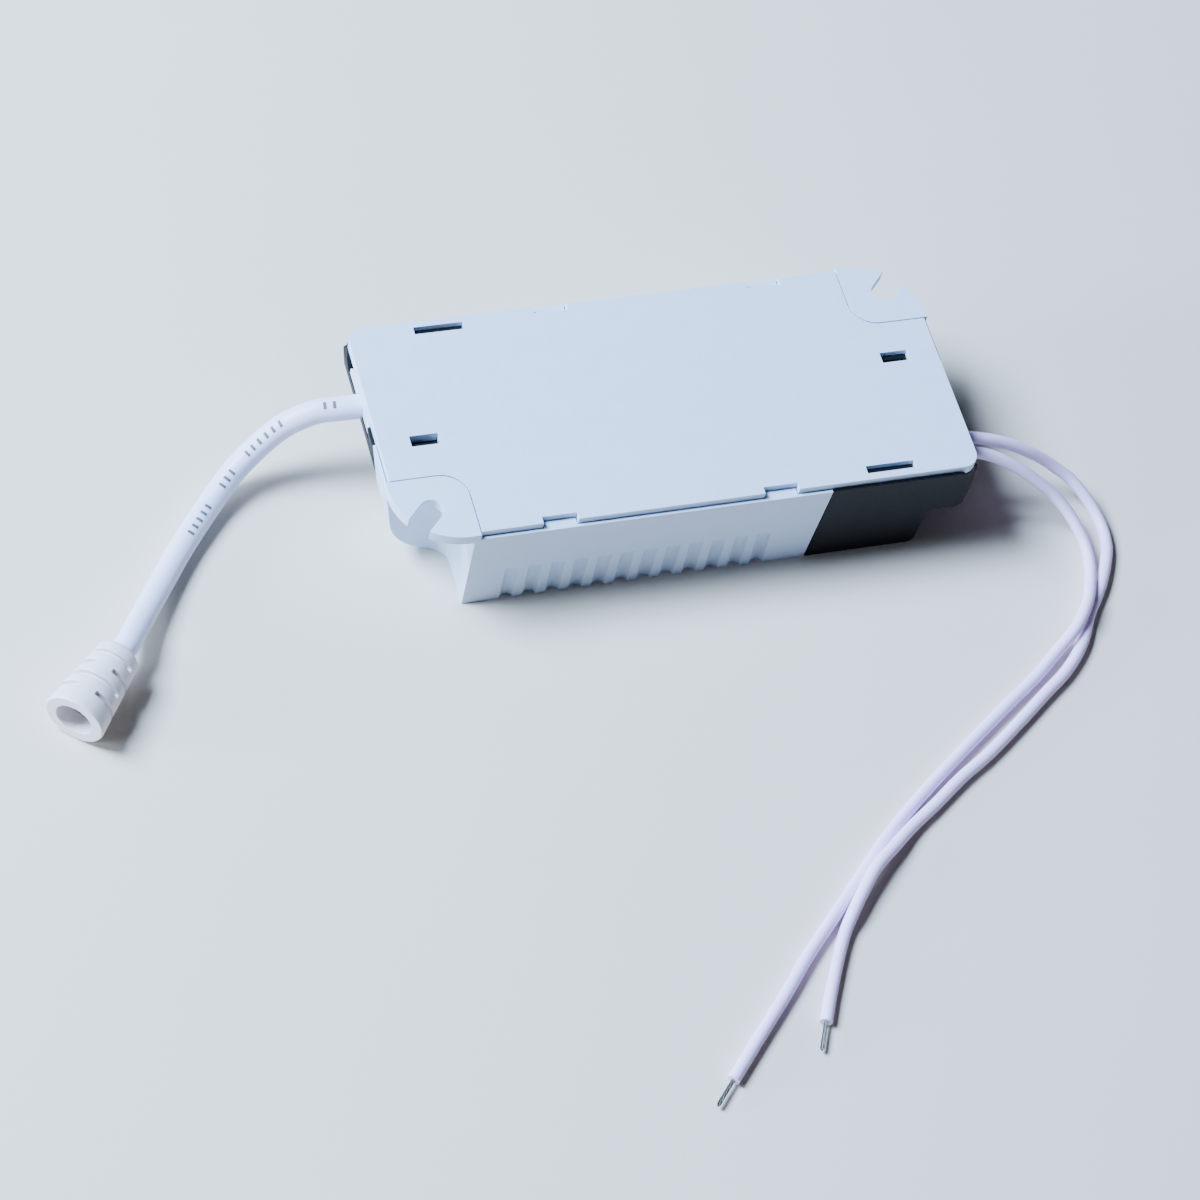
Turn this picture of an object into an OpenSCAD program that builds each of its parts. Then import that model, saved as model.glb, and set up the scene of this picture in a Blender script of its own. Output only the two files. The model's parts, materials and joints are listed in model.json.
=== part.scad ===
// LED driver in a moulded case: white housing with two slotted ears, snap-in base plate,
// two black end covers, the circuit inside, an output cable with a connector and two input leads.
// It lies on its label face with the base plate up. X runs along the length, the output end is at -X.

/* [Housing] */
// Overall length
body_l = 101; // [98:0.5:130]
// Overall width across the long walls
body_w = 45; // [44:0.5:60]
// Overall height from the resting face to the base plate
body_h = 19.6; // [19.2:0.2:28]
// Thickness of the moulded walls
wall = 1.6; // [1.4:0.1:2]
// Thickness of the resting face
floor_t = 1.6; // [1.2:0.1:2]
// Lean of the end walls, sideways per unit of height
end_lean = 0.17; // [0.1:0.01:0.2]
// Radius that rolls the white ends into the resting face
roll_r = 10.4; // [6:0.2:12]
// Thickness of the partitions beside the end covers
part_t = 1.2; // [1:0.1:1.4]

/* [Ears] */
// Length of the scooped corner under an ear
scoop_l = 12.1; // [11:0.1:14]
// Width of the scooped corner under an ear
scoop_w = 11.6; // [11:0.1:14]
// Inner corner radius of the scoop
scoop_r = 3.5; // [2:0.1:5]
// Outer corner radius of an ear
ear_r = 11.4; // [9:0.2:11.4]
// Distance of the screw slot's round end from both faces
slot_at = 6.2; // [5.4:0.1:7]
// Width of the open screw slot
slot_w = 4; // [3.2:0.1:4.6]
// Width of the ear past the scoop
ear_lip = 1; // [0.8:0.1:1.2]

/* [Grip grooves] */
// Number of grooves in each long wall
groove_n = 12; // [4:1:12]
// Spacing of the grooves
groove_pitch = 4; // [3.2:0.1:4.2]
// Width of one groove
groove_w = 2.4; // [1.6:0.1:2.8]
// Depth of one groove
groove_depth = 0.55; // [0.3:0.05:0.8]
// Height of the grooves above the resting face
groove_h = 8.7; // [5:0.1:14]
// Distance of the groove pattern from mid length
groove_shift = 8.8; // [6:0.2:10]

/* [Base plate] */
// Thickness of the base plate and the ears
plate_t = 2; // [1.6:0.1:2.4]
// How far the plate stands above the rim
plate_proud = 1.2; // [0.8:0.1:1.4]
// Width of the rim around the plate
rim_w = 0.7; // [0.5:0.05:0.9]
// Clearance around the plate
plate_gap = 0.2; // [0.1:0.05:0.3]
// Length of a snap window in the plate's edge
window_l = 6; // [4:0.2:8]
// Depth of a snap window
window_d = 1.3; // [1:0.1:1.6]
// Distances of the two snap windows from mid length, on the near edge
window_x = [-23.8, 14.4];
// Diameter of the posts that hold the board down
post_d = 3; // [2:0.2:4]

/* [End covers] */
// Length of a cover along the resting face
cover_l = 28.6; // [24:0.2:29.4]
// Slant of the seam between cover and wall, sideways per unit of height
seam_lean = 0.08; // [0:0.01:0.12]
// How far a cover reaches past the middle line
cover_past = 1.4; // [0.6:0.1:2]
// Wall thickness of a cover
cover_t = 1.4; // [1.2:0.1:1.8]
// Clearance between a cover and the housing
cover_gap = 0.15; // [0.1:0.05:0.3]
// Plan radius of a cover's corner and of the plate there
cover_r = 3.5; // [2.6:0.1:5]
// Length of the shallow end
step_l = 8.2; // [7:0.2:10]
// Draft of the step's riser
step_draft = 0.5; // [0:0.1:1]
// Depth of the shallow end below the outer face of the plate
step_d = 10.8; // [9.8:0.1:12]
// Radius along the lower edges of a cover
edge_r = 1.5; // [0.8:0.1:2]

/* [Cover hooks] */
// Length of the long hook slot
hook_long = 8.6; // [6:0.2:10]
// Length of the short hook slot
hook_short = 4.9; // [3:0.1:6]
// Width of the long slot
slot_long_w = 1.45; // [1.2:0.05:1.8]
// Width of the short slot
slot_short_w = 2.1; // [1.6:0.1:2.4]
// Distance of the long slot from the plate's long edge
slot_edge = 1.3; // [1:0.1:1.6]
// Clearance of a hook in its slot
hook_gap = 0.2; // [0.1:0.05:0.3]
// How deep the hooks end below the plate's face
hook_sink = 0.9; // [0.5:0.1:1.4]

/* [Cable entries] */
// Diameter of the output cable
cable_d = 4.2; // [3.6:0.1:4.8]
// Diameter of one input lead
lead_d = 2.1; // [1.6:0.1:2.2]
// Clearance of a cable in its entry
entry_gap = 0.1; // [0.05:0.05:0.3]
// Distance of the output cable and the clamps from the middle line
entry_y = 10.2; // [9.8:0.1:11]
// Distance of the live lead from the middle line
lead_y = 12; // [9:0.1:12.2]
// Spacing of the two input leads
lead_pitch = 3.2; // [2.8:0.1:3.4]
// Depth of the entries below the plate's face
entry_d = 6.1; // [5.8:0.1:6.6]
// Width of a cable clamp
clamp_w = 14.4; // [13:0.2:15]
// Thickness of a cable clamp
clamp_t = 3; // [2:0.1:3.4]
// Depth of a clamp's outer face behind the end of the case
clamp_in = 1; // [0.9:0.1:1.6]
// Height of a clamp's arms
clamp_bar = 1; // [0.8:0.1:1.4]

/* [Circuit board] */
// Thickness of the board
board_t = 1.6; // [1:0.1:1.8]
// Room between the board and the plate
solder_room = 2.6; // [2.4:0.1:3]
// Clearance of the board beside its neighbours
board_gap = 0.8; // [0.5:0.1:1.2]
// Clearance of the components beside the partitions
bay_gap = 1.7; // [1:0.1:2]
// Clearance of the components inside the board's long edges
edge_gap = 0.3; // [0.2:0.1:1]

/* [Components] */
// Diameter of the mains capacitor
bulk_d = 10; // [8:0.5:10.4]
// Length of the mains capacitor
bulk_l = 16; // [12:0.5:18]
// Diameter of an output capacitor
out_cap_d = 8; // [6:0.2:8.6]
// Length of an output capacitor
out_cap_l = 11.5; // [8:0.5:12]
// Length of the transformer core
core_l = 14; // [12:0.5:14.5]
// Width of the transformer core
core_w = 16; // [15:0.2:16.4]
// Thickness of the transformer core
core_h = 5; // [4:0.2:5.6]
// Diameter of the filter choke
choke_d = 9; // [7:0.2:9.6]
// Height of the filter choke
choke_h = 10; // [7:0.2:10.4]
// Diameter of the disc varistor
varistor_d = 7; // [5:0.2:8]
// Diameter of the disc capacitor
disc_d = 8; // [5:0.2:9]

/* [Output connector] */
// Length of the connector
plug_l = 14.6; // [13:0.2:20]
// Diameter at the cable end
plug_d1 = 7.4; // [7:0.1:8]
// Diameter at the mouth
plug_d2 = 10.4; // [10:0.1:12]
// Bore of the contact sleeve
socket_d = 5.6; // [5:0.1:5.8]
// Diameter of the contact pin
pin_d = 2.1; // [1.6:0.1:2.6]
// Depth of the contacts behind the mouth
socket_in = 3.2; // [1.6:0.2:4]
// Spacing of the bending slots
flex_pitch = 2.65; // [2.4:0.05:3]
// Width of a bending slot
flex_w = 0.8; // [0.5:0.05:1]

/* [Hidden] */
$fn = 64;

// Half sizes and the main levels
half_l = body_l / 2;
half_w = body_w / 2;
rim_z = body_h - plate_proud;
plate_z = body_h - plate_t;
step_z = body_h - step_d;
board_z = plate_z - solder_room - board_t;
board_top = board_z + board_t;
entry_z = body_h - entry_d;
// Board half sizes, kept clear of the scoops and the hooks
board_hl = half_l - scoop_l - wall - board_gap;
board_hw = half_w - rim_w - slot_edge - slot_long_w - board_gap;
// Half length of the room between the partitions, and the ends of the component rows in it
bay_x = -seam(0) - part_t - bay_gap;
row_y = board_hw - edge_gap;
// Slant length of the leaning end walls per unit of height
lean_len = norm([1, end_lean]);
// Overrun that keeps cutting faces off the faces they cut
over = 1;
// Hook slots on the output side, as the low corner of each
long_slot = [-half_l + 12, half_w - rim_w - slot_edge - slot_long_w];
short_slot = [-half_l + 6, -cover_past - slot_short_w];
// Height of a cover's inner wall and of the bridge that carries its short hook
inner_wall_z = board_z - 0.8;
bridge_t = 1.4;
bridge_z = inner_wall_z - bridge_t - 0.8;
// Soldering clearance of the hanging components
lift = 0.2;
// The groove is a shallow arc of this radius
groove_r = (pow(groove_w / 2, 2) + pow(groove_depth, 2)) / (2 * groove_depth);

// Route of the output cable, from its clamp to the connector
cable_route = [[-49.5, 10.2, 13.5], [-52.5, 10.2, 13.5], [-56, 10.6, 13], [-59, 10.6, 12],
  [-62, 10.4, 10.4], [-65, 9.6, 8.4], [-68, 8.4, 6.2], [-71, 6.6, 4.4], [-74.5, 3.4, 2.9],
  [-78, -0.5, 2.3], [-82.4, -5.9, 2.1], [-86.9, -12.2, 2.4], [-91.5, -19, 3.5],
  [-94.5, -23.9, 5.2], [-96.5, -26.2, 5.2]];
// Route of the live lead, the outer one, which passes low over the neutral lead near its end
live_route = [[49.5, -12, 13.5], [52.5, -12, 13.5], [56, -12.5, 12.9], [60, -13.1, 11.5],
  [63.5, -13.9, 9.8], [66.5, -14.6, 8], [69, -15.6, 6.3], [71.5, -17.1, 4.8], [73.5, -19.5, 3.4],
  [74.7, -21.8, 2.3], [75.4, -24.3, 1.6], [75.6, -27.1, 1.2], [75, -30.3, 1.1],
  [73.6, -33.5, 1.1], [71.8, -36.7, 1.1], [69.7, -39.7, 1.1], [67.2, -43, 1.1], [64, -48.3, 1.1],
  [59.5, -53, 1.1], [54, -57, 1.1], [48, -61.4, 1.1], [41, -66.3, 1.1], [34.8, -70, 1.1],
  [28.7, -74.2, 1.1], [23.5, -77.6, 1.3], [19.3, -80.9, 2], [15, -84.3, 2.6], [11.6, -88, 2.3],
  [9.2, -90.9, 2], [7, -93.8, 1.2], [4.9, -97.2, 1.1], [2.6, -101.5, 1.1], [0.7, -105.2, 1.1],
  [-1.1, -109, 1.1]];
// Route of the neutral lead, which passes low over the live lead near the case
neutral_route = [[49.5, -15.2, 13.5], [52.5, -15.2, 13.5], [56.2, -16.2, 12.7],
  [60.3, -17.8, 10.8], [63.5, -19.4, 8.8], [66.7, -21.4, 6.6], [69, -24, 4.6], [70.4, -27, 3],
  [71, -29.7, 2], [70.7, -32.7, 1.7], [69.7, -36, 2], [67.7, -40.2, 2.8], [65.4, -43.6, 3],
  [62.8, -46.4, 2.6], [58.9, -49.3, 1.5], [53.9, -53.2, 1.1], [48, -57.2, 1.1],
  [41.3, -61.8, 1.1], [34.5, -66.6, 1.1], [28.3, -71.1, 1.1], [22.5, -75.6, 1.1],
  [17.9, -79.5, 1.1], [14, -83.2, 1.1], [10.4, -86.7, 1.1], [5, -91.9, 1.1], [-0.3, -97, 1.1],
  [-5.9, -103, 1.1], [-11.3, -108.5, 1.1], [-15.6, -112.9, 1.1], [-18.5, -115.9, 1.1]];

// Unit vector
function unit(v) = v / norm(v);
// X of the seam between the output cover and the housing at a height
function seam(z) = -half_l + cover_l - seam_lean * z;
// X of the leaning output end at a height, moved in by an inset
function end_x(z, inset) = -half_l + end_lean * (rim_z - z) + inset * lean_len;
// Centre of a round of radius r in the corner v between the points a and b
function round_centre(a, v, b, r) =
  let (u = unit(a - v), w = unit(b - v)) v + unit(u + w) * r / sin(acos(u * w) / 2);
// Foot of the point c on the line from v to a
function foot(v, a, c) = v + unit(a - v) * ((c - v) * unit(a - v));

// Polygon with a true arc of radius radii[i] in each corner, drawn counter-clockwise
module round_poly(points, radii) {
  n = len(points);
  before = [for (i = [0:n - 1]) points[(i + n - 1) % n]];
  after = [for (i = [0:n - 1]) points[(i + 1) % n]];
  convex = [for (i = [0:n - 1]) cross(points[i] - before[i], after[i] - points[i]) > 0];
  centres = [for (i = [0:n - 1]) radii[i] == 0 ? points[i]
    : round_centre(before[i], points[i], after[i], radii[i])];
  difference() {
    union() {
      polygon([for (i = [0:n - 1]) each radii[i] == 0 ? [points[i]]
        : [foot(points[i], before[i], centres[i]), centres[i], foot(points[i], after[i], centres[i])]]);
      for (i = [0:n - 1]) if (convex[i] && radii[i] > 0) translate(centres[i]) circle(radii[i]);
    }
    for (i = [0:n - 1]) if (!convex[i] && radii[i] > 0) translate(centres[i]) circle(radii[i]);
  }
}

// Profile in X and Z, drawn out along Y between two places
module side_extrude(y0, y1) {
  translate([0, y1, 0]) rotate([90, 0, 0]) linear_extrude(y1 - y0) children();
}

// Box between two corners
module box(low, high) {
  translate(low) cube(high - low);
}

// Both halves of the case are alike, turned half a round about the upright axis
module both_ends() {
  for (turn = [0, 180]) rotate(turn) children();
}

// What a corner of radius r loses, with the corner at the origin
module corner_waste(r) {
  difference() {
    translate([-over, -over]) square(r + over);
    translate([r, r]) circle(r);
  }
}

// Plan of the case, moved in by an inset
module body_plan(inset) {
  difference() {
    square([body_l - 2 * inset, body_w - 2 * inset], center = true);
    both_ends() {
      translate([-half_l + inset, -half_w + inset]) corner_waste(ear_r - inset);
      translate([-half_l + inset, half_w - inset]) mirror([0, 1]) corner_waste(cover_r - inset);
    }
  }
}

// Plan of the scooped corner under an ear, grown by a margin
module scoop_plan(grow) {
  corner = [-half_l + scoop_l + grow, -half_w + scoop_w + grow];
  difference() {
    translate([-half_l - over, -half_w - over]) square(corner + [half_l + over, half_w + over]);
    translate(corner) rotate(180) corner_waste(scoop_r + grow);
  }
}

// Side profile of the white housing: leaning ends that roll into the resting face
module housing_profile(inset, bottom) {
  foot_x = -end_x(bottom, inset);
  top_x = -end_x(body_h + over, inset);
  round_poly([[-top_x, body_h + over], [-foot_x, bottom], [foot_x, bottom], [top_x, body_h + over]],
    [0, roll_r - inset, roll_r - inset, 0]);
}

// Space that the base plate drops into, down to its ledge
module plate_pocket() {
  translate([0, 0, plate_z]) linear_extrude(body_h) body_plan(rim_w - plate_gap);
}

// Outer form of the white housing before anything is cut away
module housing_block() {
  intersection() {
    linear_extrude(rim_z) body_plan(0);
    side_extrude(-half_w - over, half_w + over) housing_profile(0, 0);
  }
}

// Inside of the white housing
module housing_hollow() {
  intersection() {
    translate([0, 0, floor_t]) linear_extrude(body_h) body_plan(wall);
    side_extrude(-half_w - over, half_w + over) housing_profile(wall, floor_t);
  }
  plate_pocket();
}

// Space that an end cover takes out of the housing
module cover_space() {
  side_extrude(-cover_past, half_w + over)
    polygon([[-half_l - over, -over], [seam(-over), -over], [seam(body_h + over), body_h + over],
      [-half_l - over, body_h + over]]);
}

// Partitions beside an end cover: the board lies on them, and past the board the plate does
module partitions() {
  board_end = -board_hl - board_gap;
  side_extrude(-cover_past - part_t, -cover_past)
    polygon([[-half_l - over, 0], [seam(0) + part_t, 0], [seam(board_z) + part_t, board_z],
      [board_end, board_z], [board_end, plate_z], [-half_l - over, plate_z]]);
  side_extrude(-cover_past - part_t, half_w)
    polygon([[seam(0), 0], [seam(0) + part_t, 0], [seam(board_z) + part_t, board_z],
      [seam(board_z), board_z]]);
}

// Open screw slot of an ear, from its round end out through the corner
module screw_slot() {
  translate([-half_l + slot_at, -half_w + slot_at]) rotate(225) {
    circle(slot_w / 2);
    translate([0, -slot_w / 2]) square([ear_r, slot_w]);
  }
}

// Ear in the plane of the base plate
module ear() {
  translate([0, 0, plate_z]) linear_extrude(plate_t) intersection() {
    body_plan(0);
    scoop_plan(ear_lip);
  }
}

// Catches on a long wall that fill the plate's snap windows
module snap_catches() {
  inner = -half_w + rim_w + window_d - plate_gap;
  for (x = window_x)
    box([x - window_l / 2 + plate_gap, -half_w + rim_w / 2, plate_z - 1.5],
      [x + window_l / 2 - plate_gap, inner, rim_z]);
}

// Grip grooves of a long wall
module grooves() {
  for (k = [0:groove_n - 1])
    translate([(k - (groove_n - 1) / 2) * groove_pitch - groove_shift,
      -half_w - groove_r + groove_depth, -over])
      cylinder(r = groove_r, h = groove_h + over);
}

// Gap in a partition for the short hook of the cover
module hook_gap_cut() {
  box([short_slot[0] - hook_gap, -cover_past - part_t - over, bridge_z - hook_gap],
    [short_slot[0] + hook_short + hook_gap, -cover_past + over, body_h]);
}

module housing() color("whitesmoke") {
  difference() {
    union() {
      difference() {
        housing_block();
        housing_hollow();
      }
      intersection() {
        housing_block();
        both_ends() {
          partitions();
          linear_extrude(plate_z) scoop_plan(wall);
        }
      }
      both_ends() {
        ear();
        snap_catches();
      }
    }
    both_ends() {
      cover_space();
      translate([0, 0, -over]) linear_extrude(plate_z + over) scoop_plan(0);
      translate([0, 0, plate_z - over]) linear_extrude(plate_t + 2 * over) screw_slot();
      grooves();
      hook_gap_cut();
    }
  }
}

module base_plate() color("aliceblue") {
  translate([0, 0, plate_z]) linear_extrude(plate_t) difference() {
    body_plan(rim_w);
    both_ends() {
      scoop_plan(ear_lip + plate_gap);
      translate(long_slot) square([hook_long, slot_long_w]);
      translate(short_slot) square([hook_short, slot_short_w]);
      for (x = window_x) translate([x - window_l / 2, -half_w])
        square([window_l, rim_w + window_d]);
    }
  }
  for (sx = [-1, 1], sy = [-1, 1])
    translate([sx * (board_hl - post_d), sy * (board_hw - post_d), board_top])
      cylinder(d = post_d, h = plate_z - board_top);
}

// Side profile of a cover: leaning shallow end, step, then full depth up to the seam
module cover_profile(inset, seam_inset) {
  riser = -half_l + step_l;
  outer_r = max(edge_r - inset, 0.3);
  top = rim_z + over;
  round_poly([[end_x(top, inset), top], [end_x(step_z + inset, inset), step_z + inset],
    [riser + inset, step_z + inset], [riser + step_draft + inset, inset],
    [seam(inset) - seam_inset, inset],
    [seam(top) - seam_inset, top]], [0, outer_r, edge_r / 2, outer_r, 0, 0]);
}

// Hooks that rise from a cover into the plate's slots
module cover_hooks() {
  top = body_h - hook_sink;
  box([long_slot[0] + hook_gap, long_slot[1] + hook_gap, cover_t / 2],
    [long_slot[0] + hook_long - hook_gap, long_slot[1] + slot_long_w - hook_gap, top]);
  box([short_slot[0] + hook_gap, short_slot[1] + hook_gap, bridge_z],
    [short_slot[0] + hook_short - hook_gap, short_slot[1] + slot_short_w / 2, top]);
  box([short_slot[0] + hook_gap, short_slot[1] + hook_gap, bridge_z],
    [short_slot[0] + hook_short - hook_gap, -cover_past + cover_gap + cover_t / 2, bridge_z + bridge_t]);
}

// Cables through an entry, as distance from the middle line and diameter
output_entries = [[entry_y, cable_d]];
input_entries = [[lead_y, lead_d], [lead_y + lead_pitch, lead_d]];

// Entry in a cover's end wall: half rounds for the cables below a window for the clamp
module cable_entry(entries) {
  for (e = entries) translate([-half_l - over, e[0], entry_z]) rotate([0, 90, 0])
    cylinder(d = e[1] + 2 * entry_gap, h = clamp_t + 4 * over);
  box([-half_l - over, entry_y - clamp_w / 2 - cover_gap, entry_z],
    [-half_l + clamp_t + 3 * over, entry_y + clamp_w / 2 + cover_gap, body_h]);
}

// Black cover over a wiring end
module end_cover(entries) color("#22252b") {
  inner_y = -cover_past + cover_gap + cover_t;
  difference() {
    union() {
      difference() {
        intersection() {
          linear_extrude(rim_z) body_plan(0);
          side_extrude(-cover_past + cover_gap, half_w + over) cover_profile(0, cover_gap);
        }
        intersection() {
          linear_extrude(body_h) body_plan(cover_t);
          side_extrude(inner_y, half_w + over) cover_profile(cover_t, -over);
        }
        side_extrude(-cover_past - over, inner_y + over) intersection() {
          cover_profile(cover_t, -over);
          translate([-body_l, inner_wall_z]) square([2 * body_l, body_h]);
        }
        plate_pocket();
        box([-half_l - over, -half_w, plate_z], [-half_l + cover_r, half_w + over, body_h]);
      }
      cover_hooks();
    }
    cable_entry(entries);
  }
}

module output_cover() end_cover(output_entries);
module input_cover() rotate(180) end_cover(input_entries);

// White saddle that holds a cable down in its entry
module cable_clamp(entries) color("white") {
  rise = plate_z - entry_z - 2 * cover_gap;
  arch_r = (pow(clamp_w / 2, 2) + pow(rise - clamp_bar, 2)) / (2 * (rise - clamp_bar));
  translate([-half_l + clamp_in, entry_y, entry_z]) rotate([90, 0, 90])
    linear_extrude(clamp_t) difference() {
      union() {
        translate([-clamp_w / 2, 0]) square([clamp_w, clamp_bar]);
        intersection() {
          translate([0, rise - arch_r]) circle(arch_r);
          translate([-clamp_w / 2, clamp_bar / 2]) square([clamp_w, rise]);
        }
      }
      for (e = entries) translate([e[0] - entry_y, 0]) circle(d = e[1] + 2 * entry_gap);
    }
}

module output_cable_clamp() cable_clamp(output_entries);
module input_lead_clamp() rotate(180) cable_clamp(input_entries);

module circuit_board() color("darkgreen")
  box([-board_hl, -board_hw, board_z], [board_hl, board_hw, board_top]);

// Transformer, hanging under the board with its core flat
core_at = [-3, row_y - core_w / 2];
core_back = 2.6;
core_leg = 2.3;
core_mid = 4.2;
bobbin_h = 10;
bobbin_t = 0.7;
fit_gap = 0.15;
core_z = board_z - lift - bobbin_h / 2 - 0.4;
spool_l = core_l - 2 * core_back - 2 * fit_gap;
core_window = (core_w - 2 * core_leg - core_mid) / 2;
flange_w = core_mid + 2 * (core_window - fit_gap);

// One half of the core, an E lying on its side with its legs towards +X
module core_half() color("dimgray") {
  half = core_l / 2;
  translate([core_at[0], core_at[1], core_z - core_h / 2]) linear_extrude(core_h) {
    translate([-half, -core_w / 2]) square([core_back, core_w]);
    for (side = [-1, 1]) translate([-half, side * (core_w - core_leg) / 2 - core_leg / 2])
      square([half, core_leg]);
    translate([-half, -core_mid / 2]) square([half, core_mid]);
  }
}

module transformer_core_left() core_half();
module transformer_core_right()
  translate([2 * core_at[0], 0, 0]) mirror([1, 0, 0]) core_half();

// Tube around the middle leg, with its hole; sizes are across Y and Z
module leg_tube(length, outer, inner) {
  translate([core_at[0], core_at[1], core_z]) difference() {
    cube([length, outer[0], outer[1]], center = true);
    cube([length + over, inner[0], inner[1]], center = true);
  }
}

leg_hole = [core_mid + 2 * fit_gap, core_h + 2 * fit_gap];
spool = leg_hole + [2 * bobbin_t, 2 * bobbin_t];

module transformer_bobbin() color("darkslategray") {
  leg_tube(spool_l, spool, leg_hole);
  for (side = [-1, 1]) difference() {
    translate([core_at[0] + side * (spool_l - bobbin_t) / 2 - bobbin_t / 2,
      core_at[1] - flange_w / 2, core_z - bobbin_h / 2])
      cube([bobbin_t, flange_w, board_z - core_z + bobbin_h / 2]);
    translate([core_at[0], core_at[1], core_z])
      cube([core_l, leg_hole[0], leg_hole[1]], center = true);
  }
}

module transformer_winding() color("gold")
  leg_tube(spool_l - 2 * bobbin_t - 2 * fit_gap, [flange_w - 1, bobbin_h - 1],
    spool + [2 * fit_gap, 2 * fit_gap]);

// Electrolytic capacitor lying along X under the board, with a groove near its leads
module can_capacitor(d, l, at) {
  groove = d / 20;
  translate([at[0], at[1], board_z - lift - d / 2]) rotate([0, 90, 0]) difference() {
    cylinder(d = d, h = l);
    translate([0, 0, 1.6]) difference() {
      cylinder(d = d + over, h = 0.8);
      cylinder(d = d - 2 * groove, h = 0.8);
    }
    translate([0, 0, l - 0.4]) cylinder(d = d * 0.8, h = 1);
  }
}

// Room between the two output capacitors
out_cap_gap = 0.6;
module mains_capacitor() color("#1b2a4a")
  can_capacitor(bulk_d, bulk_l, [bay_x - bulk_l, -row_y + bulk_d / 2]);
module output_capacitors() color("#3a3f46")
  for (k = [0, 1])
    can_capacitor(out_cap_d, out_cap_l,
      [-bay_x, -row_y + out_cap_d / 2 - 1.3 + k * (out_cap_d + out_cap_gap)]);

// Filter choke, a drum standing under the board
choke_at = [bay_x - choke_d / 2, 3];
choke_flange = 1.6;
choke_neck = 0.5;

module filter_choke_core() color("dimgray")
  translate([choke_at[0], choke_at[1], board_z - lift - choke_h]) {
    cylinder(d = choke_d, h = choke_flange);
    cylinder(d = choke_d * choke_neck, h = choke_h);
    translate([0, 0, choke_h - choke_flange]) cylinder(d = choke_d, h = choke_flange);
  }

module filter_choke_winding() color("peru")
  translate([choke_at[0], choke_at[1], board_z - lift - choke_h + choke_flange + fit_gap])
    difference() {
      cylinder(d = choke_d - 0.8, h = choke_h - 2 * choke_flange - 2 * fit_gap);
      translate([0, 0, -over])
        cylinder(d = choke_d * choke_neck + 2 * fit_gap, h = choke_h);
    }

module film_capacitor() color("gold")
  box([board_hl - 12, row_y - 12, board_z - lift - 9], [board_hl - 6, row_y, board_z - lift]);

// Disc part standing on edge under the board, facing along X
module disc_part(d, t, at) {
  translate([at[0], at[1], board_z - lift - d / 2]) rotate([0, 90, 0]) cylinder(d = d, h = t);
}

module disc_capacitor() color("royalblue") disc_part(disc_d, 3.4, [-bay_x, row_y - disc_d]);
module varistor() color("steelblue") disc_part(varistor_d, 3.2, [board_hl - 4.5, row_y - 8]);

module fuse_resistor() color("seagreen")
  translate([-seam(0) + 2.6, -cover_past - 3, board_z - lift - 1.6]) rotate([0, 90, 0]) {
    cylinder(d = 2.6, h = 9);
    cylinder(d = 3.2, h = 2);
    translate([0, 0, 7]) cylinder(d = 3.2, h = 2);
  }

module bridge_rectifier() color("#202020")
  box([bay_x - 6, row_y - 6, board_z - 2.6], [bay_x, row_y - 1, board_z]);

// Small chip package on the solder side, with bent legs along both long edges
module driver_chip() color("#202020") {
  at = [6, 12];
  leg_w = 0.4;
  box([at[0] - 2.5, at[1] - 2, board_top + 0.1], [at[0] + 2.5, at[1] + 2, board_top + 1.6]);
  for (k = [0:3], side = [-1, 1]) {
    x = at[0] - 1.9 + k * 1.27;
    box([x - leg_w / 2, at[1] + side * 2.5 - 0.6, board_top],
      [x + leg_w / 2, at[1] + side * 2.5 + 0.6, board_top + 0.3]);
  }
}

module output_diode() color("#202020")
  box([-bay_x, row_y - 14, board_top], [-bay_x + 6, row_y - 9, board_top + 2]);

// Rows of chip parts on the solder side
module chip_row(n, at, size, pitch) {
  for (k = [0:n - 1])
    translate([at[0] + k * pitch, at[1], board_top]) cube(size);
}

module chip_resistors() color("black") {
  chip_row(4, [-2, 2], [2, 1.25, 0.6], 3.4);
  chip_row(4, [-2, -4], [2, 1.25, 0.6], 3.4);
}

module chip_capacitors() color("tan") {
  chip_row(3, [-16, -6], [2, 1.25, 1], 3.6);
  chip_row(2, [14, 8], [2, 1.25, 1], 3.6);
}

// Direction of a route at its point i
function heading(p, i) = unit(p[min(i + 1, len(p) - 1)] - p[max(i - 1, 0)]);
// Ring of points round the point i of a route, set out from a direction the route never takes
function ring(p, i, r, sides, level) =
  let (t = heading(p, i), s = unit(cross(t, level)), u = cross(s, t))
    [for (k = [0:sides - 1]) p[i] + r * (cos(360 * k / sides) * s + sin(360 * k / sides) * u)];

// Tube along a route, closed at both ends
module tube(p, d, sides, level) {
  n = len(p);
  polyhedron(
    points = [for (i = [0:n - 1]) each ring(p, i, d / 2, sides, level)],
    faces = [
      [for (k = [0:sides - 1]) k],
      for (i = [0:n - 2], k = [0:sides - 1]) let (a = i * sides + k, b = i * sides + (k + 1) % sides)
        each [[a, a + sides, b], [b, a + sides, b + sides]],
      [for (k = [0:sides - 1]) n * sides - 1 - k]]);
}

module output_cable() color("lavender") tube(cable_route, cable_d, 12, [0, 0, 1]);
module live_lead() color("lavender") tube(live_route, lead_d, 8, [0, 0, 1]);
module neutral_lead() color("lavender") tube(neutral_route, lead_d, 8, [0, 0, 1]);

// Short end of the output cable's jacket inside its clamp
jacket_l = 5;
module output_cable_tail() color("lavender")
  translate([-half_l + clamp_in, entry_y, entry_z]) rotate([0, 90, 0])
    cylinder(d = cable_d, h = jacket_l);

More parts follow.
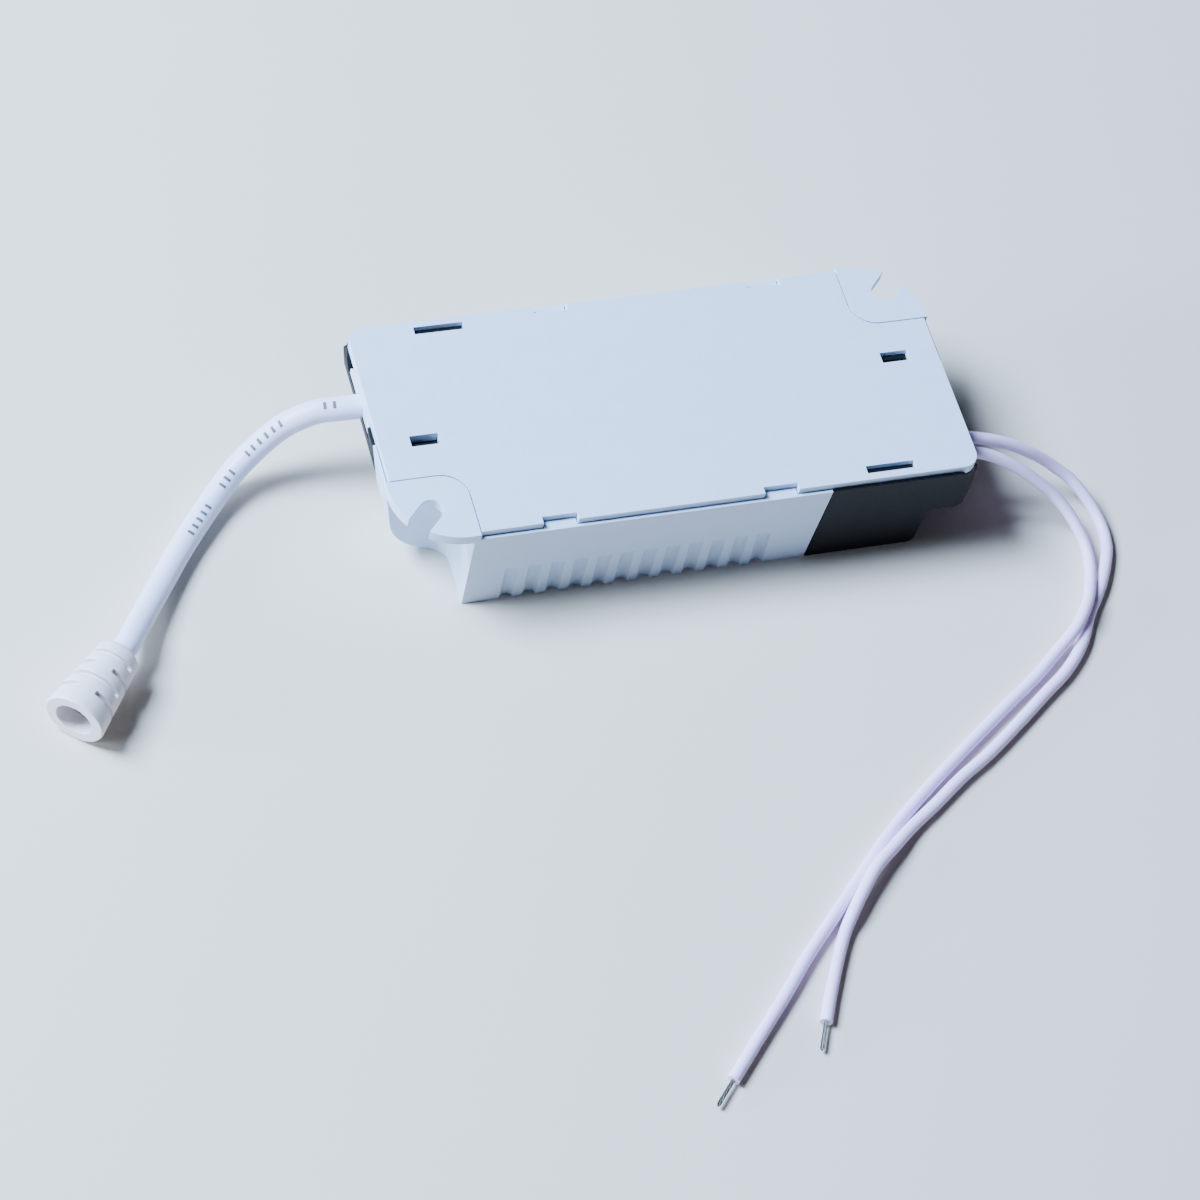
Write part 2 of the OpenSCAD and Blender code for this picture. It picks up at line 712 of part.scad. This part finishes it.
// Inner wire, from a start inside the clamp down and then up to a pad under the board
core_wire_d = 1.5;
function tail_route(start, inward, pad) =
  let (low = board_z - 3)
    [start, start + [inward * 3.6, 0, 0], [start[0] + inward * 6.8, start[1], (start[2] + low) / 2],
      [pad[0] - inward * 3.4, (start[1] + pad[1]) / 2, low],
      [pad[0] - inward, pad[1], low + 0.5], [pad[0], pad[1], board_z - 1.3],
      [pad[0], pad[1], board_z]];

module output_core_wires() color("firebrick") {
  start = [-half_l + clamp_in + jacket_l, entry_y, entry_z];
  for (side = [-1, 1])
    tube(tail_route(start + [0, side * 0.9, 0], 1, [-board_hl + 3, entry_y + side * 2]),
      core_wire_d, 8, [0, 1, 0]);
}

// Inner end of an input lead
module lead_tail(y) {
  tube(tail_route([half_l - clamp_in, y, entry_z], -1, [board_hl - 3, y]), lead_d, 8, [0, 1, 0]);
}

module live_lead_tail() color("lavender") lead_tail(-lead_y);
module neutral_lead_tail() color("lavender") lead_tail(-lead_y - lead_pitch);

// Bare end of a lead
tip_l = 5;
strand_d = 1;
module bare_tip(p) {
  last = len(p) - 1;
  way = p[last] - p[last - 1];
  translate(p[last]) rotate([0, 0, atan2(way[1], way[0])]) rotate([0, 90, 0])
    cylinder(d = strand_d, h = tip_l);
}

module live_lead_tip() color("silver") bare_tip(live_route);
module neutral_lead_tip() color("silver") bare_tip(neutral_route);

// Output connector: its own axis runs from the cable end to the mouth
bore_d = socket_d + 0.9;
bore_l = plug_l - 6.6;
module on_plug_axis() {
  last = len(cable_route) - 1;
  way = cable_route[last] - cable_route[last - 1];
  translate(cable_route[last]) rotate([0, 0, atan2(way[1], way[0])]) rotate([0, 90, 0]) children();
}

// Bending slot round the connector, left uncut at two opposite bridges
module flex_slot(z, bridge_turn) {
  bridge_w = 3.2;
  depth = 0.8;
  r = (plug_d1 + (plug_d2 - plug_d1) * z / plug_l) / 2;
  translate([0, 0, z - flex_w / 2]) difference() {
    cylinder(r = r + over, h = flex_w);
    cylinder(r = r - depth, h = flex_w);
    rotate(bridge_turn) translate([-plug_d2, -bridge_w / 2, 0]) cube([2 * plug_d2, bridge_w, flex_w]);
  }
}

module connector_body() color("white") on_plug_axis() difference() {
  shoulder = 0.8;
  rotate_extrude() polygon([[0, 0], [plug_d1 / 2 - shoulder, 0], [plug_d1 / 2, shoulder],
    [plug_d2 / 2, plug_l - shoulder / 2], [plug_d2 / 2 - shoulder / 4, plug_l], [0, plug_l]]);
  translate([0, 0, plug_l - bore_l]) cylinder(d = bore_d, h = bore_l + over);
  for (k = [0:3]) flex_slot(3 + k * flex_pitch, k % 2 == 0 ? 90 : 0);
}

module connector_sleeve() color("silver") on_plug_axis()
  translate([0, 0, plug_l - bore_l]) difference() {
    cylinder(d = bore_d - 0.06, h = bore_l - socket_in);
    translate([0, 0, -over]) cylinder(d = socket_d, h = bore_l + 2 * over);
  }

module connector_pin() color("silver") on_plug_axis()
  translate([0, 0, plug_l - bore_l]) {
    cylinder(d = pin_d, h = bore_l - socket_in - pin_d);
    translate([0, 0, bore_l - socket_in - pin_d])
      cylinder(d1 = pin_d, d2 = pin_d * 0.6, h = pin_d / 3);
  }

housing();
base_plate();
output_cover();
input_cover();
output_cable_clamp();
input_lead_clamp();
circuit_board();
transformer_core_left();
transformer_core_right();
transformer_bobbin();
transformer_winding();
mains_capacitor();
output_capacitors();
filter_choke_core();
filter_choke_winding();
film_capacitor();
disc_capacitor();
varistor();
fuse_resistor();
bridge_rectifier();
driver_chip();
output_diode();
chip_resistors();
chip_capacitors();
output_cable_tail();
output_core_wires();
live_lead_tail();
neutral_lead_tail();
output_cable();
connector_body();
connector_sleeve();
connector_pin();
live_lead();
neutral_lead();
live_lead_tip();
neutral_lead_tip();
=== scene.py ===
import json
import math

import bmesh
import bpy
from mathutils import Matrix, Vector


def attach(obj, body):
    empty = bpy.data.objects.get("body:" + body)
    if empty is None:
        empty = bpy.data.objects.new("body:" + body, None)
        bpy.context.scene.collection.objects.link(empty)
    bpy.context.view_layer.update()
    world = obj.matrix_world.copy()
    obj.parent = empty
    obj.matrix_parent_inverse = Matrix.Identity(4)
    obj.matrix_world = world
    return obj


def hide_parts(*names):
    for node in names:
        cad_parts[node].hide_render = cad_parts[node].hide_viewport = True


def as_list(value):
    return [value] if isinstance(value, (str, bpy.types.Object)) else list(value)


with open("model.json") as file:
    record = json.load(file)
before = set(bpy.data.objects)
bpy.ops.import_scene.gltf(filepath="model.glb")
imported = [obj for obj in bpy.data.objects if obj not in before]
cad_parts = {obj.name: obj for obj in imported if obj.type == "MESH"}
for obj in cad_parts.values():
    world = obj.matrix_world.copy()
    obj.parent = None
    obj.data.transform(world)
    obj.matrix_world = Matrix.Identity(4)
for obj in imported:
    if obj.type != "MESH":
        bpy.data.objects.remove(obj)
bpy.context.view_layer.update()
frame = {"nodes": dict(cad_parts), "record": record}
MM = 0.001

# Sizes of the cords and of the strokes on the cable, in millimetres
CABLE_D = 4.2
LEAD_D = 2.1
STROKE_SPACE = 1.5
STROKE_W = 0.5
STROKE_LIFT = 0.02
STROKE_DEPTH = 0.04
STROKE_TURN = 105  # degrees round the cable, from its side
STROKE_FACES = 4  # faces along a stroke, round the cable

# Bare lead ends: wires round a middle one, in millimetres, and their twist in turns
LIVE_TIP = 5
NEUTRAL_TIP = 5.2
WIRE_R = 0.12
WIRE_LAY = 0.23
WIRE_TWIST = 0.7
WIRE_STEPS = 12
WIRE_SPREAD = 0.12  # share that the lay opens or closes at the cut
WIRE_SHORT = 0.03  # share that a wire is cut shorter than the next

# Rounded edges of moulded pieces, in millimetres, and the clean-up of a CAD mesh before them
EDGE = 0.2
FINE_EDGE = 0.15
WELD = 0.002
FLAT = math.radians(0.5)
SMOOTH_BELOW = math.radians(34)

# Sockets of a colour mix node by their place, because numbers and colours share their names
MIX_SHARE, MIX_FIRST, MIX_SECOND, MIX_RESULT = 0, 6, 7, 2


# Colours and shader nodes

def srgb(code):
    """A colour written as six hex digits, as linear values with full opacity."""
    parts = [int(code[i : i + 2], 16) / 255 for i in (0, 2, 4)]
    return [p / 12.92 if p <= 0.04045 else ((p + 0.055) / 1.055) ** 2.4 for p in parts] + [1.0]


def add(tree, kind, values=None, links=None, **settings):
    """Adds a shader node with its settings, the values of its sockets and links to them."""
    node = tree.nodes.new(kind)
    for name, value in settings.items():
        setattr(node, name, value)
    for socket, value in (values or {}).items():
        node.inputs[socket].default_value = value
    for socket, source in (links or {}).items():
        tree.links.new(source, node.inputs[socket])
    return node


def new_material(name):
    """A material with no nodes yet, and its node tree."""
    material = bpy.data.materials.new(name)
    material.use_nodes = True
    tree = material.node_tree
    tree.nodes.clear()
    return material, tree


def surface(tree, shader):
    """Makes a shader the material's surface."""
    add(tree, "ShaderNodeOutputMaterial", links={"Surface": shader.outputs[0]})


def moulded(name, light, dark, rough, grain_mm, grain_depth, shine=0.5, cloud_mm=4.0):
    """Moulded plastic: a spark-eroded grain, and a faint mottle between two tones."""
    vary = 0.06
    material, tree = new_material(name)
    where = add(tree, "ShaderNodeTexCoord").outputs["Object"]
    cloud = add(tree, "ShaderNodeTexNoise", {"Scale": 1 / (cloud_mm * MM), "Detail": 3.0},
                {"Vector": where})
    grain = add(tree, "ShaderNodeTexNoise", {"Scale": 1 / (grain_mm * MM), "Detail": 4.0},
                {"Vector": where})
    tone = add(tree, "ShaderNodeMix", {MIX_FIRST: srgb(dark), MIX_SECOND: srgb(light)},
               {MIX_SHARE: cloud.outputs["Fac"]}, data_type="RGBA")
    gloss = add(tree, "ShaderNodeMapRange", {"To Min": rough - vary, "To Max": rough + vary},
                {"Value": grain.outputs["Fac"]})
    bump = add(tree, "ShaderNodeBump", {"Strength": 0.5, "Distance": grain_depth * MM},
               {"Height": grain.outputs["Fac"]})
    shader = add(tree, "ShaderNodeBsdfPrincipled", {"IOR": 1.53, "Specular IOR Level": shine},
                 {"Base Color": tone.outputs[MIX_RESULT], "Roughness": gloss.outputs[0],
                  "Normal": bump.outputs[0]})
    surface(tree, shader)
    return material


def finished(name, code, shade, rough, spot_mm, metal=0.0):
    """A hard finish that varies softly between two tones over spots of a given size."""
    vary = 0.08
    material, tree = new_material(name)
    where = add(tree, "ShaderNodeTexCoord").outputs["Object"]
    spots = add(tree, "ShaderNodeTexNoise", {"Scale": 1 / (spot_mm * MM), "Detail": 3.0},
                {"Vector": where})
    tone = add(tree, "ShaderNodeMix", {MIX_FIRST: srgb(shade), MIX_SECOND: srgb(code)},
               {MIX_SHARE: spots.outputs["Fac"]}, data_type="RGBA")
    gloss = add(tree, "ShaderNodeMapRange", {"To Min": rough - vary, "To Max": rough + vary},
                {"Value": spots.outputs["Fac"]})
    shader = add(tree, "ShaderNodeBsdfPrincipled", {"Metallic": metal},
                 {"Base Color": tone.outputs[MIX_RESULT], "Roughness": gloss.outputs[0]})
    surface(tree, shader)
    return material


def soft_pvc(name, code, rough, depth=0.15):
    """Soft extruded or moulded PVC: depth is the share of light that enters it."""
    skin_mm, skin_depth = 0.5, 0.03
    material, tree = new_material(name)
    where = add(tree, "ShaderNodeTexCoord").outputs["Object"]
    skin = add(tree, "ShaderNodeTexNoise", {"Scale": 1 / (skin_mm * MM), "Detail": 3.0},
               {"Vector": where})
    bump = add(tree, "ShaderNodeBump", {"Strength": 0.3, "Distance": skin_depth * MM},
               {"Height": skin.outputs["Fac"]})
    shader = add(tree, "ShaderNodeBsdfPrincipled",
                 {"Base Color": srgb(code), "Roughness": rough, "Subsurface Weight": depth,
                  "Subsurface Radius": [1.2 * MM, 1.2 * MM, 1.4 * MM], "Subsurface Scale": 1.0},
                 {"Normal": bump.outputs[0]})
    surface(tree, shader)
    return material


# White ABS of the housing and the clamps, injection moulded in a satin tool: a cool white with
# soft broad highlights. Its grain is drawn about ten times too coarse, to show
WHITE = moulded("white_abs", "CEDDF1", "C5D5EA", rough=0.5, grain_mm=0.5, grain_depth=0.02)
# Base plate, the same ABS from a spark-eroded tool: a mat face with a fine mottle in place of a
# highlight. Its grain is drawn about ten times too coarse, to show
PLATE = moulded("white_abs_mat", "CCDBF0", "C1D2E7", rough=0.58, grain_mm=0.7, grain_depth=0.05)
# Black ABS of the wiring covers, moulded mat: deep black with hardly any shine. Its grain is
# drawn about ten times too coarse, to show
BLACK = moulded("black_abs", "0E1015", "0B0D11", rough=0.55, grain_mm=0.4, grain_depth=0.03,
                shine=0.15)
# Soft PVC, extruded: light enters it a little, so the cords look milky, lilac on the shaded side.
# Its skin is a little uneven, drawn coarse enough to soften the highlight
JACKET = soft_pvc("pvc_cable_jacket", "E2E2FA", rough=0.42)
LEAD = soft_pvc("pvc_lead_insulation", "F0D8FF", rough=0.42)
# Connector, moulded in a warmer and denser PVC, so its slots stay dark
BOOT = soft_pvc("pvc_connector", "E8DEDE", rough=0.5, depth=0.04)
# Tinned copper strands and nickel contacts: grey metal, duller where it was twisted
TIN = finished("tinned_copper", "8C8A87", "63615E", rough=0.42, spot_mm=0.4, metal=1.0)
NICKEL = finished("nickel_plate", "C8C6C1", "B2B0AA", rough=0.26, spot_mm=0.8, metal=1.0)
# Grey ink of the strokes on the cable: mat and uneven, so it looks printed
INK = finished("grey_cable_ink", "4C4E56", "6A6C74", rough=0.6, spot_mm=0.3)

# Inside the case, seen only through slots and gaps: a material for each slot of the record
INSIDE = {
    # Green sheet with a dull sheen
    "board_laminate": finished("glass_epoxy_board", "2F5E35", "29532F", rough=0.45, spot_mm=1.2),
    # Pressed and fired, dark grey and mat
    "ferrite": finished("ferrite", "404043", "343437", rough=0.55, spot_mm=0.6),
    # Brown black, moulded
    "bobbin_plastic": finished("phenolic_bobbin", "292722", "22201C", rough=0.5, spot_mm=1.0),
    # Yellow film with a gloss
    "winding_tape": finished("polyester_tape", "DDB73F", "CFA732", rough=0.35, spot_mm=2.0),
    # Lacquered wire, bright copper
    "copper_wire": finished("enamelled_copper", "B87038", "9C5A2B", rough=0.32, spot_mm=0.4, metal=1.0),
    # Shrunk film, dark blue with a gloss
    "capacitor_sleeve": finished("pet_sleeve", "28334E", "222B42", rough=0.35, spot_mm=3.0),
    # Yellow moulded box
    "film_box": finished("film_capacitor_box", "DAB84A", "CCA93C", rough=0.5, spot_mm=1.5),
    # Dipped coat, blue and uneven
    "disc_lacquer": finished("disc_lacquer", "3163AB", "29579B", rough=0.4, spot_mm=1.5),
    # Dipped coat, grey green
    "resistor_lacquer": finished("resistor_lacquer", "629478", "57866B", rough=0.45, spot_mm=1.0),
    # Black moulding, mat
    "chip_moulding": finished("epoxy_moulding", "212123", "1A1A1C", rough=0.5, spot_mm=0.5),
    # Fired body, sandy and mat
    "chip_ceramic": finished("ceramic_chip", "AD946F", "9C8562", rough=0.55, spot_mm=0.5),
    # Red extruded insulation
    "core_insulation": finished("core_wire_pvc", "A82D2D", "982626", rough=0.45, spot_mm=1.0),
    "cable_pvc": LEAD,
    "white_plastic": WHITE,
    "black_plastic": BLACK,
    "tinned_metal": NICKEL,
}


# Pieces

def paint(obj, material):
    """Gives a piece one material all over."""
    obj.data.materials.clear()
    obj.data.materials.append(material)


def deepen_grooves(bm):
    """Presses the grip grooves further into the long walls, so their sides stand steeper."""
    half_w = 22.5 * MM
    middle = 8.8 * MM  # of the grooves, towards opposite ends on the two walls
    reach = 24 * MM
    top = 8.8 * MM
    least, most = 0.005 * MM, 0.6 * MM
    deeper = 1.5
    for v in bm.verts:
        side = -1 if v.co.y < 0 else 1
        sunk = half_w - abs(v.co.y)
        if least < sunk < most and v.co.z < top and abs(v.co.x - side * middle) < reach:
            v.co.y = side * (half_w - sunk * deeper)


def tuck_corner(bm):
    """Draws the top of a cover's round corner in under the base plate's corner."""
    middle_x, middle_y = 47 * MM, 19 * MM
    top = 17.5 * MM
    reach = 2.9 * MM
    least = 0.01 * MM
    for v in bm.verts:
        out = Vector((abs(v.co.x) - middle_x, abs(v.co.y) - middle_y))
        if v.co.z > top and min(out) > least and out.length > reach:
            out *= reach / out.length
            v.co.x = math.copysign(middle_x + out.x, v.co.x)
            v.co.y = math.copysign(middle_y + out.y, v.co.y)


def rounded(node, material, width_mm, angle=38, shape=None):
    """A copy of a CAD piece with its sharp edges rounded, as a mould leaves them."""
    source = frame["nodes"][node]
    mesh = source.data.copy()
    mesh.transform(source.matrix_world)
    bm = bmesh.new()
    bm.from_mesh(mesh)
    bmesh.ops.remove_doubles(bm, verts=bm.verts, dist=WELD * MM)
    bmesh.ops.dissolve_limit(bm, angle_limit=FLAT, verts=bm.verts, edges=bm.edges)
    if shape:
        shape(bm)
    sharp = [e for e in bm.edges
             if len(e.link_faces) == 2 and e.calc_face_angle(0) > math.radians(angle)]
    bmesh.ops.bevel(bm, geom=sharp, offset=width_mm * MM, segments=2, profile=0.5,
                    affect="EDGES", clamp_overlap=True)
    bm.to_mesh(mesh)
    bm.free()
    for face in mesh.polygons:
        face.use_smooth = True
    mesh.set_sharp_from_angle(angle=SMOOTH_BELOW)
    obj = bpy.data.objects.new(node + "_look", mesh)
    bpy.context.collection.objects.link(obj)
    even = obj.modifiers.new("weighted", "WEIGHTED_NORMAL")
    even.keep_sharp = True
    paint(obj, material)
    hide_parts(node)
    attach(obj, "root")
    return obj


def smooth_line(points, steps=8):
    """Points of a smooth line, a Catmull-Rom curve, through the given ones, in metres."""
    p = [Vector(q) * MM for q in points]
    p = [p[0] * 2 - p[1]] + p + [p[-1] * 2 - p[-2]]
    line = []
    for a, b, c, d in zip(p, p[1:], p[2:], p[3:]):
        for k in range(steps):
            t = k / steps
            line.append(0.5 * (2 * b + (c - a) * t + (2 * a - 5 * b + 4 * c - d) * t * t
                               + (3 * b - a - 3 * c + d) * t ** 3))
    return line + [p[-2]]


def curve(name, lines, radius, material, sides=6):
    """A round tube along each line, as one piece."""
    data = bpy.data.curves.new(name, "CURVE")
    data.dimensions = "3D"
    data.bevel_depth = radius
    data.bevel_resolution = sides
    data.use_fill_caps = True
    for line in lines:
        spline = data.splines.new("POLY")
        spline.points.add(len(line) - 1)
        for point, at in zip(spline.points, line):
            point.co = (*at, 1)
        spline.use_smooth = True
    obj = bpy.data.objects.new(name, data)
    bpy.context.collection.objects.link(obj)
    paint(obj, material)
    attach(obj, "root")
    return obj


def along(line, s):
    """Place and direction at the distance s along a line."""
    for a, b in zip(line, line[1:]):
        step = (b - a).length
        if s <= step:
            return a + (b - a) * (s / step), (b - a).normalized()
        s -= step
    return line[-1], (line[-1] - line[-2]).normalized()


def strands(name, node, line, length, count=6):
    """Bare end of a lead: twisted strands round a middle one, a little spread at the cut."""
    end, way = line[-1], (line[-1] - line[-2]).normalized()
    side = way.cross(Vector((0, 0, 1))).normalized()
    up = side.cross(way)
    lines = [[end + way * (length * k / WIRE_STEPS) for k in range(WIRE_STEPS + 1)]]
    for n in range(count):
        one = []
        for k in range(WIRE_STEPS + 1):
            t = k / WIRE_STEPS
            turn = 2 * math.pi * (n / count + WIRE_TWIST * t)
            r = WIRE_LAY * MM * (1 + WIRE_SPREAD * t * math.sin(3 * n))
            one.append(end + way * (length * t * (1 - WIRE_SHORT * (n % 3)))
                       + side * (r * math.cos(turn)) + up * (r * math.sin(turn)))
        lines.append(one)
    obj = curve(name, lines, WIRE_R * MM, TIN, sides=2)
    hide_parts(node)
    return obj


def ink_marks(name, line, radius, marks, turn):
    """Short plain strokes across the cable, as thin closed patches lying on its jacket."""
    bm = bmesh.new()
    for s, width, height in marks:
        grid = []
        for i in range(2):
            at, way = along(line, (s + width * i) * MM)
            side = way.cross(Vector((0, 0, 1))).normalized()
            up = side.cross(way)
            row = []
            for k in range(STROKE_FACES + 1):
                a = math.radians(turn) + height * MM / radius * (k / STROKE_FACES - 0.5)
                out = side * math.cos(a) + up * math.sin(a)
                row.append(bm.verts.new(at + (radius + STROKE_LIFT * MM) * out))
            grid.append(row)
        for k in range(STROKE_FACES):
            bm.faces.new([grid[0][k], grid[1][k], grid[1][k + 1], grid[0][k + 1]])
    bm.normal_update()
    bmesh.ops.solidify(bm, geom=bm.faces[:], thickness=STROKE_DEPTH * MM)
    bmesh.ops.recalc_face_normals(bm, faces=bm.faces[:])
    mesh = bpy.data.meshes.new(name)
    bm.to_mesh(mesh)
    bm.free()
    obj = bpy.data.objects.new(name, mesh)
    bpy.context.collection.objects.link(obj)
    paint(obj, INK)
    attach(obj, "root")
    return obj


# CAD pieces take the material of their slot, and those that show outside are replaced below
for part in frame["record"]["subparts"]:
    paint(frame["nodes"][part["node"]], INSIDE[part["material_slot"]])

# Outside pieces, with rounded edges
rounded("housing", WHITE, EDGE, shape=deepen_grooves)
rounded("base_plate", PLATE, EDGE)
rounded("output_cover", BLACK, EDGE, shape=tuck_corner)
rounded("input_cover", BLACK, EDGE, shape=tuck_corner)
rounded("output_cable_clamp", WHITE, FINE_EDGE)
rounded("input_lead_clamp", WHITE, FINE_EDGE)
boot = rounded("connector_body", BOOT, FINE_EDGE)

# Cords, along the same routes as in the CAD model, in millimetres
CABLE = [(-49.5, 10.2, 13.5), (-52.5, 10.2, 13.5), (-56, 10.6, 13), (-59, 10.6, 12),
         (-62, 10.4, 10.4), (-65, 9.6, 8.4), (-68, 8.4, 6.2), (-71, 6.6, 4.4), (-74.5, 3.4, 2.9),
         (-78, -0.5, 2.3), (-82.4, -5.9, 2.1), (-86.9, -12.2, 2.4), (-91.5, -19, 3.5),
         (-94.5, -23.9, 5.2), (-96.5, -26.2, 5.2)]
LIVE = [(49.5, -12, 13.5), (52.5, -12, 13.5), (56, -12.5, 12.9), (60, -13.1, 11.5),
        (63.5, -13.9, 9.8), (66.5, -14.6, 8), (69, -15.6, 6.3), (71.5, -17.1, 4.8),
        (73.5, -19.5, 3.4), (74.7, -21.8, 2.3), (75.4, -24.3, 1.6), (75.6, -27.1, 1.2),
        (75, -30.3, 1.1), (73.6, -33.5, 1.1), (71.8, -36.7, 1.1), (69.7, -39.7, 1.1),
        (67.2, -43, 1.1), (64, -48.3, 1.1), (59.5, -53, 1.1), (54, -57, 1.1), (48, -61.4, 1.1),
        (41, -66.3, 1.1), (34.8, -70, 1.1), (28.7, -74.2, 1.1), (23.5, -77.6, 1.3),
        (19.3, -80.9, 2), (15, -84.3, 2.6), (11.6, -88, 2.3), (9.2, -90.9, 2), (7, -93.8, 1.2),
        (4.9, -97.2, 1.1), (2.6, -101.5, 1.1), (0.7, -105.2, 1.1), (-1.1, -109, 1.1)]
NEUTRAL = [(49.5, -15.2, 13.5), (52.5, -15.2, 13.5), (56.2, -16.2, 12.7), (60.3, -17.8, 10.8),
           (63.5, -19.4, 8.8), (66.7, -21.4, 6.6), (69, -24, 4.6), (70.4, -27, 3), (71, -29.7, 2),
           (70.7, -32.7, 1.7), (69.7, -36, 2), (67.7, -40.2, 2.8), (65.4, -43.6, 3),
           (62.8, -46.4, 2.6), (58.9, -49.3, 1.5), (53.9, -53.2, 1.1), (48, -57.2, 1.1),
           (41.3, -61.8, 1.1), (34.5, -66.6, 1.1), (28.3, -71.1, 1.1), (22.5, -75.6, 1.1),
           (17.9, -79.5, 1.1), (14, -83.2, 1.1), (10.4, -86.7, 1.1), (5, -91.9, 1.1),
           (-0.3, -97, 1.1), (-5.9, -103, 1.1), (-11.3, -108.5, 1.1), (-15.6, -112.9, 1.1),
           (-18.5, -115.9, 1.1)]


def free_cord(node, points, diameter, material, pieces):
    """A cord lying loose along its route; pieces makes what is on it from its middle line."""
    line = smooth_line(points)
    obj = curve(node + "_look", [line], diameter * MM / 2, material)
    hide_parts(node)
    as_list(pieces(line))


# Plain strokes in groups: where a group starts along the cable, how many and how high, in mm
STROKE_GROUPS = [(4, 2, 1.3), (13, 6, 1.2), (25, 3, 1.3), (33, 5, 1.2)]
STROKES = [(start + k * STROKE_SPACE, STROKE_W, height)
           for start, count, height in STROKE_GROUPS for k in range(count)]

free_cord("output_cable", CABLE, CABLE_D, JACKET, lambda line: [
    boot, frame["nodes"]["connector_sleeve"], frame["nodes"]["connector_pin"],
    ink_marks("cable_marks", line, CABLE_D / 2 * MM, STROKES, STROKE_TURN)])
free_cord("live_lead", LIVE, LEAD_D, LEAD,
          lambda line: [strands("live_strands", "live_lead_tip", line, LIVE_TIP * MM)])
free_cord("neutral_lead", NEUTRAL, LEAD_D, LEAD,
          lambda line: [strands("neutral_strands", "neutral_lead_tip", line, NEUTRAL_TIP * MM)])


# Stage: a pale table, a soft sky, a broad light from above and the left, and a weak one low on
# the left that shows up the grip grooves

def table():
    """A plain pale floor under the part."""
    half = 3
    corners = [(-half, -half, 0), (half, -half, 0), (half, half, 0), (-half, half, 0)]
    mesh = bpy.data.meshes.new("table")
    mesh.from_pydata(corners, [], [(0, 1, 2, 3)])
    obj = bpy.data.objects.new("table", mesh)
    bpy.context.collection.objects.link(obj)
    # Mat white paper, a little warm, so that it looks neutral in the cool light
    paint(obj, finished("white_paper_table", "E2D6C5", "DFD3C2", rough=0.85, spot_mm=40.0))


def light(name, at, aim, size, watts, code):
    """A square soft light at a place, turned towards another."""
    data = bpy.data.lights.new(name, "AREA")
    data.size = size
    data.energy = watts
    data.color = srgb(code)[:3]
    obj = bpy.data.objects.new(name, data)
    obj.location = at
    obj.rotation_euler = (Vector(aim) - Vector(at)).to_track_quat("-Z", "Y").to_euler()
    bpy.context.collection.objects.link(obj)


def sky(code, strength):
    """Even light from all round."""
    world = bpy.data.worlds.new("soft_sky")
    world.use_nodes = True
    background = world.node_tree.nodes["Background"]
    background.inputs["Color"].default_value = srgb(code)
    background.inputs["Strength"].default_value = strength
    bpy.context.scene.world = world


def camera(at, aim, roll, lens):
    """A camera at a place, turned towards another and rolled by degrees, with a lens in mm."""
    data = bpy.data.cameras.new("camera")
    data.lens = lens
    data.sensor_width = 36
    data.clip_start = 0.01
    obj = bpy.data.objects.new("camera", data)
    turn = (Vector(aim) - Vector(at)).to_track_quat("-Z", "Y").to_matrix().to_4x4()
    obj.matrix_world = Matrix.Translation(at) @ turn @ Matrix.Rotation(math.radians(roll), 4, "Z")
    bpy.context.collection.objects.link(obj)
    bpy.context.scene.camera = obj


table()
light("window", at=(-0.58, 0.24, 0.76), aim=(0, -0.02, 0), size=0.4, watts=50, code="BAD7FF")
light("low_left", at=(-0.9, 0.04, 0.17), aim=(0, 0, 0), size=0.2, watts=12, code="C6DDFF")
sky("D6E5FF", 0.05)
# The photo's view, fitted to the corners of the case
camera(at=(-0.183593, -0.342314, 0.507505), aim=(-0.015158, -0.02555, 0), roll=15.449, lens=111.81)
